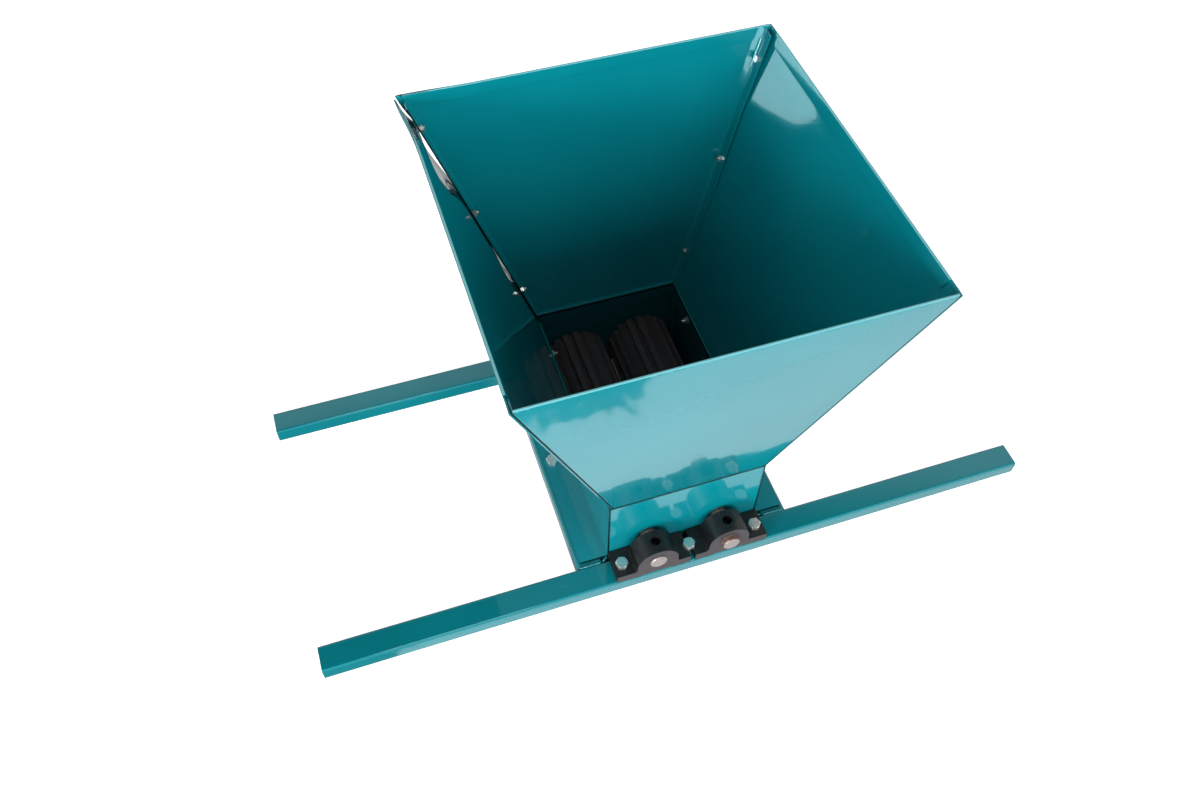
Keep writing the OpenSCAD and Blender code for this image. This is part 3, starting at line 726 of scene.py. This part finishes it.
collar_heads, washers, collar_nuts = bmesh.new(), bmesh.new(), bmesh.new()
collar_shank = small_shank(-11.8 * mm, -5.4 * mm)
washer = turned([(2.15 * mm, 0), (4.35 * mm, 0), (4.5 * mm, 0.15 * mm), (4.5 * mm, 0.65 * mm),
                 (4.35 * mm, 0.8 * mm), (2.15 * mm, 0.8 * mm), (2.15 * mm, 0)], 32)
for side in (-1, 1):
    for end in (-1, 1):
        number += 1
        spot = (Matrix.Translation((side * 90 * mm, end * 84 * mm, 118 * mm))
                @ Matrix.Rotation(side * math.pi / 2, 4, "Y"))
        twist = about_z(31 * number)
        put(collar_heads, small_head, spot @ twist)
        put(collar_heads, collar_shank, spot)
        put(washers, washer, spot @ Matrix.Translation((0, 0, -4.6 * mm)))
        put(collar_nuts, small_nut, spot @ Matrix.Translation((0, 0, -7.8 * mm)) @ twist)
hardware(collar_heads, "throat_bolts", "collar_bolts")
hardware(washers, "throat_washers", "collar_washers")
hardware(collar_nuts, "throat_nuts", "collar_nuts")


# The four bearing blocks are cast iron and were painted matt black before their outer faces
# were cut flat, so those faces are bare grey. A grease hole goes in at each boss.
def casting(name):
    """Black on the cast skin, bare cut metal on the faces across the shafts."""
    iron = Finish(name)
    spot = iron.place()
    outer = iron.axes(spot)[1].size().step(174.6 * mm, 174.9 * mm)
    pits = iron.grain(spot, 700.0, 3.0)
    lumps = iron.grain(spot, 130.0, 2.0)
    skin = iron.between(pits, srgb(5, 5, 6), srgb(17, 17, 19))
    strokes = iron.node("ShaderNodeMapping", {}, {"Vector": spot, "Scale": (160, 160, 1500)})
    cut = iron.between(iron.grain(strokes, 1.0, 3.0), srgb(50, 46, 49), srgb(80, 75, 78))
    rough = pits * (1.0 - 0.7 * outer) + 1.6 * lumps
    iron.join(iron.shader, {"Base Color": iron.between(outer, skin, cut),
                            "Roughness": 0.36 + 0.08 * outer + 0.12 * pits,
                            "Metallic": 0.35 * outer, "Normal": iron.bump(rough, 0.28 * mm)})
    return iron.material


block_iron = casting("block_casting")
for rail in ("front", "rear"):
    for side in ("left", "right"):
        piece(ease(copied(f"bearing_block_{rail}_{side}"), 0.9 * mm, 3, 30), f"block_{rail}_{side}",
              "frame", "block_iron", block_iron, f"bearing_block_{rail}_{side}", sharp=30)

# Three bolts hold each pair of blocks. The middle one sits over the cleft between them and
# clamps an ear of each.
block_bolts = bmesh.new()
for side in (-1, 1):
    for x, twist in ((-80, 14), (0, 30), (80, 20)):
        where = Matrix.Translation((x * mm, side * 160 * mm, 32 * mm)) @ about_z(twist)
        large_bolt(block_bolts, where, 21 * mm)
hardware(block_bolts, "block_bolts", "bearing_bolts")


# Both shafts are drawn steel bar of 20 mm with chamfered ends. The driven one stands 6 mm out
# of its block at the front, and there its edge has rusted a little.
shaft_x, shaft_z = 42.5 * mm, 45 * mm
shafts = (("drive", shaft_x), ("idler", -shaft_x))


def drawn_bar(name):
    """Bare steel with turned rings at the front end, some rust there on the driven shaft, and
    black grease where a bar runs in the blocks."""
    steel = Finish(name)
    spot = steel.place()
    x, y, z = steel.axes(spot)
    across, up = x.size() - shaft_x, z - shaft_z
    radius = x.sum("SQRT", across * across + up * up)
    front = 1.0 - y.step(-181 * mm, -174.5 * mm)
    blotch = steel.grain(spot, 420.0, 3.0)
    rust = ((y * -1.0).step(175.2 * mm, 175.6 * mm) * x.step(20 * mm, 30 * mm)
            * radius.step(9.0 * mm, 9.9 * mm) * blotch.step(0.30, 0.52)).limit()
    bright = steel.between(blotch, srgb(150, 140, 138), srgb(188, 176, 172))
    colour = steel.between(rust, bright, steel.between(blotch, srgb(58, 34, 26), srgb(112, 74, 56)))
    grease = y.size().step(142 * mm, 143 * mm) * y.size().step(174.6 * mm, 174.2 * mm)
    colour = steel.between(grease, colour, srgb(9, 9, 9))
    rings = x.sum("SINE", radius * 9000.0)
    steel.join(steel.shader, {"Base Color": colour, "Metallic": (0.7 - 0.6 * rust) * (1.0 - grease),
                              "Roughness": 0.4 + 0.35 * rust,
                              "Normal": steel.bump(blotch + 0.15 * rings * front, 0.05 * mm)})
    return steel.material


bar_steel = drawn_bar("drawn_bar")
for (body, x), (low, high) in zip(shafts, ((-181, 224), (-177, 206))):
    bar = turned([(0, low * mm), (9 * mm, low * mm), (10 * mm, (low + 1) * mm),
                  (10 * mm, (high - 1) * mm), (9 * mm, high * mm), (0, high * mm)], 64)
    bmesh.ops.transform(bar, verts=bar.verts, matrix=Matrix.Translation((x, 0, shaft_z))
                        @ Matrix.Rotation(-math.pi / 2, 4, "X"))
    piece(bar, f"{body}_bar", body, "shaft_steel", bar_steel, f"{body}_shaft", sharp=30)


# The rollers are cast with eighteen blunt ribs and painted dull black. Each is held on its
# shaft by two steel pins, driven in from below.
def roller_coat(name):
    coat = Finish(name)
    spot = coat.place()
    pits = coat.grain(spot, 520.0, 4.0)
    haze = coat.grain(spot, 45.0, 3.0)
    colour = coat.between((pits + haze) * 0.5, srgb(44, 42, 44), srgb(74, 71, 73))
    coat.join(coat.shader, {"Base Color": colour, "Roughness": 0.42 + 0.2 * haze,
                            "Normal": coat.bump(pits + haze, 0.16 * mm)})
    return coat.material


roller_black = roller_coat("roller_black")
pin_steel = plating("pin_steel", 0.3)
for body, x in shafts:
    piece(ease(copied(f"{body}_roller"), 0.45 * mm, 2, 32), f"{body}_drum", body, "roller_black",
          roller_black, f"{body}_roller", sharp=30)
    pins = bmesh.new()
    pin = turned([(0, 0), (3.6 * mm, 0), (4 * mm, 0.4 * mm), (4 * mm, 47.1 * mm),
                  (3.6 * mm, 47.5 * mm), (0, 47.5 * mm)], 24)
    low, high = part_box(f"{body}_roller_pins")
    for y in (-110, 110):
        put(pins, pin, Matrix.Translation((x, y * mm, low.z))
            @ Matrix.Diagonal((1, 1, (high.z - low.z) / (47.5 * mm), 1)))
    piece(pins, f"{body}_drum_pins", body, "shaft_steel", pin_steel, f"{body}_roller_pins",
          even=False, sharp=30)


# Two equal gears of 34 teeth behind the rear rail turn the rollers against each other. They are
# cast iron with cut teeth, left bare and oiled, and cross pins hold their hubs on the shafts.
def bare_iron(name):
    iron = Finish(name)
    spot = iron.place()
    grain = iron.grain(spot, 380.0, 4.0)
    oil = iron.grain(spot, 30.0, 3.0)
    colour = iron.between(grain, srgb(78, 77, 78), srgb(126, 124, 122))
    iron.join(iron.shader, {"Base Color": colour, "Metallic": 0.75,
                            "Roughness": 0.34 + 0.22 * oil,
                            "Normal": iron.bump(grain, 0.14 * mm)})
    return iron.material


gear_iron = bare_iron("gear_iron")
for body, x in shafts:
    piece(ease(copied(f"{body}_gear"), 0.3 * mm, 2, 45), f"{body}_wheel", body, "gear_iron",
          gear_iron, f"{body}_gear", sharp=30)
    pin = turned([(0, -17.5 * mm), (2.6 * mm, -17.5 * mm), (3 * mm, -17.1 * mm),
                  (3 * mm, 17.1 * mm), (2.6 * mm, 17.5 * mm), (0, 17.5 * mm)], 24)
    bmesh.ops.translate(pin, verts=pin.verts, vec=(x, 201 * mm, shaft_z))
    piece(pin, f"{body}_wheel_pin", body, "zinc", pin_steel, f"{body}_gear_pin", sharp=30)


# The crank is a flat arm welded to a hub on the driven shaft and held by one screw. Its spindle
# is bolted through the arm's end and carries a loose black grip. At rest it lies to the right,
# with the grip just clear of the plane the frame lies on.
piece(ease(copied("crank_arm"), 1.0 * mm, 3, 38), "crank_lever", "drive", "teal_paint", tube_paint,
      "crank_arm", sharp=30)
reach, grip_radius, clear = 180 * mm, 15 * mm, 0.3 * mm
drop = math.radians(90) + math.asin((shaft_z - grip_radius - clear) / reach)
crank = Matrix.Translation((shaft_x, 0, shaft_z)) @ Matrix.Rotation(drop, 4, "Y")

hub_weld = bmesh.new()
for k in range(26):
    turn = math.radians(-44 + 88 * k / 25)
    spot = Vector((17.2 * mm * math.sin(turn), 220.3 * mm, 17.2 * mm * math.cos(turn)))
    bead(hub_weld, spot, 1.5 * mm, 0.2)
bmesh.ops.transform(hub_weld, matrix=crank, verts=hub_weld.verts)
piece(hub_weld, "crank_weld", "drive", "teal_paint", tube_paint, even=False, sharp=180)

screw = bmesh.new()
down = crank @ Matrix.Translation((0, 225 * mm, -16 * mm)) @ Matrix.Rotation(math.pi, 4, "X")
put(screw, hexagon(10 * mm, 4 * mm), down)
put(screw, turned([(0, -5.9 * mm), (2.9 * mm, -5.9 * mm), (2.9 * mm, 0.5 * mm),
                   (0, 0.5 * mm)]), down)
hardware(screw, "hub_screw", "crank_screw", "drive")

handle = crank @ Matrix.Translation((0, 0, reach)) @ Matrix.Rotation(-math.pi / 2, 4, "X")
spindle = turned(threaded(7.9 * mm, 203.5 * mm, 211.5 * mm, 1.25 * mm)
                 + [(3.95 * mm, 212 * mm), (3.95 * mm, 220 * mm), (5 * mm, 220 * mm),
                    (5 * mm, 321.3 * mm), (8.6 * mm, 321.3 * mm), (9 * mm, 321.8 * mm),
                    (9 * mm, 324.2 * mm), (7.6 * mm, 325.7 * mm), (5 * mm, 326 * mm),
                    (0, 326 * mm)], 48)
bmesh.ops.transform(spindle, matrix=handle, verts=spindle.verts)
hardware(spindle, "grip_spindle", "crank_spindle", "drive", 28)
nut = hexagon(13 * mm, 6.5 * mm, True, 8 * mm)
bmesh.ops.transform(nut, matrix=handle @ Matrix.Translation((0, 0, 205.5 * mm)), verts=nut.verts)
hardware(nut, "spindle_nut", "crank_spindle_nut", "drive")


def moulded(name):
    """Black moulded plastic with a fine satin grain."""
    plastic = Finish(name)
    spot = plastic.place()
    grain = plastic.grain(spot, 900.0, 2.0)
    handled = plastic.grain(spot, 40.0, 2.0)
    colour = plastic.between(handled, srgb(20, 20, 22), srgb(32, 32, 34))
    plastic.join(plastic.shader, {"Base Color": colour, "Roughness": 0.38 + 0.16 * handled,
                                  "Normal": plastic.bump(grain, 0.05 * mm)})
    return plastic.material


outline = [(5.08 * mm, 222 * mm), (11.5 * mm, 221.1 * mm), (12.6 * mm, 221.6 * mm),
           (14.6 * mm, 223.6 * mm), (grip_radius, 225.5 * mm), (grip_radius, 229 * mm)]
for ring in range(9):
    start = 232 + 9 * ring
    outline += [(grip_radius, start * mm), (14.5 * mm, (start + 0.7) * mm),
                (14.2 * mm, (start + 1.6) * mm), (14.5 * mm, (start + 2.5) * mm),
                (grip_radius, (start + 3.2) * mm)]
outline += [(grip_radius, 316.5 * mm), (14.6 * mm, 318.4 * mm), (12.6 * mm, 320.4 * mm),
            (11.5 * mm, 320.9 * mm), (5.08 * mm, 320 * mm), (5.08 * mm, 222 * mm)]
grip = turned(outline, 56)
bmesh.ops.transform(grip, matrix=handle, verts=grip.verts)
piece(grip, "hand_grip", "grip", "grip_black", moulded("moulded_black"), "crank_grip",
      even=False, sharp=40)
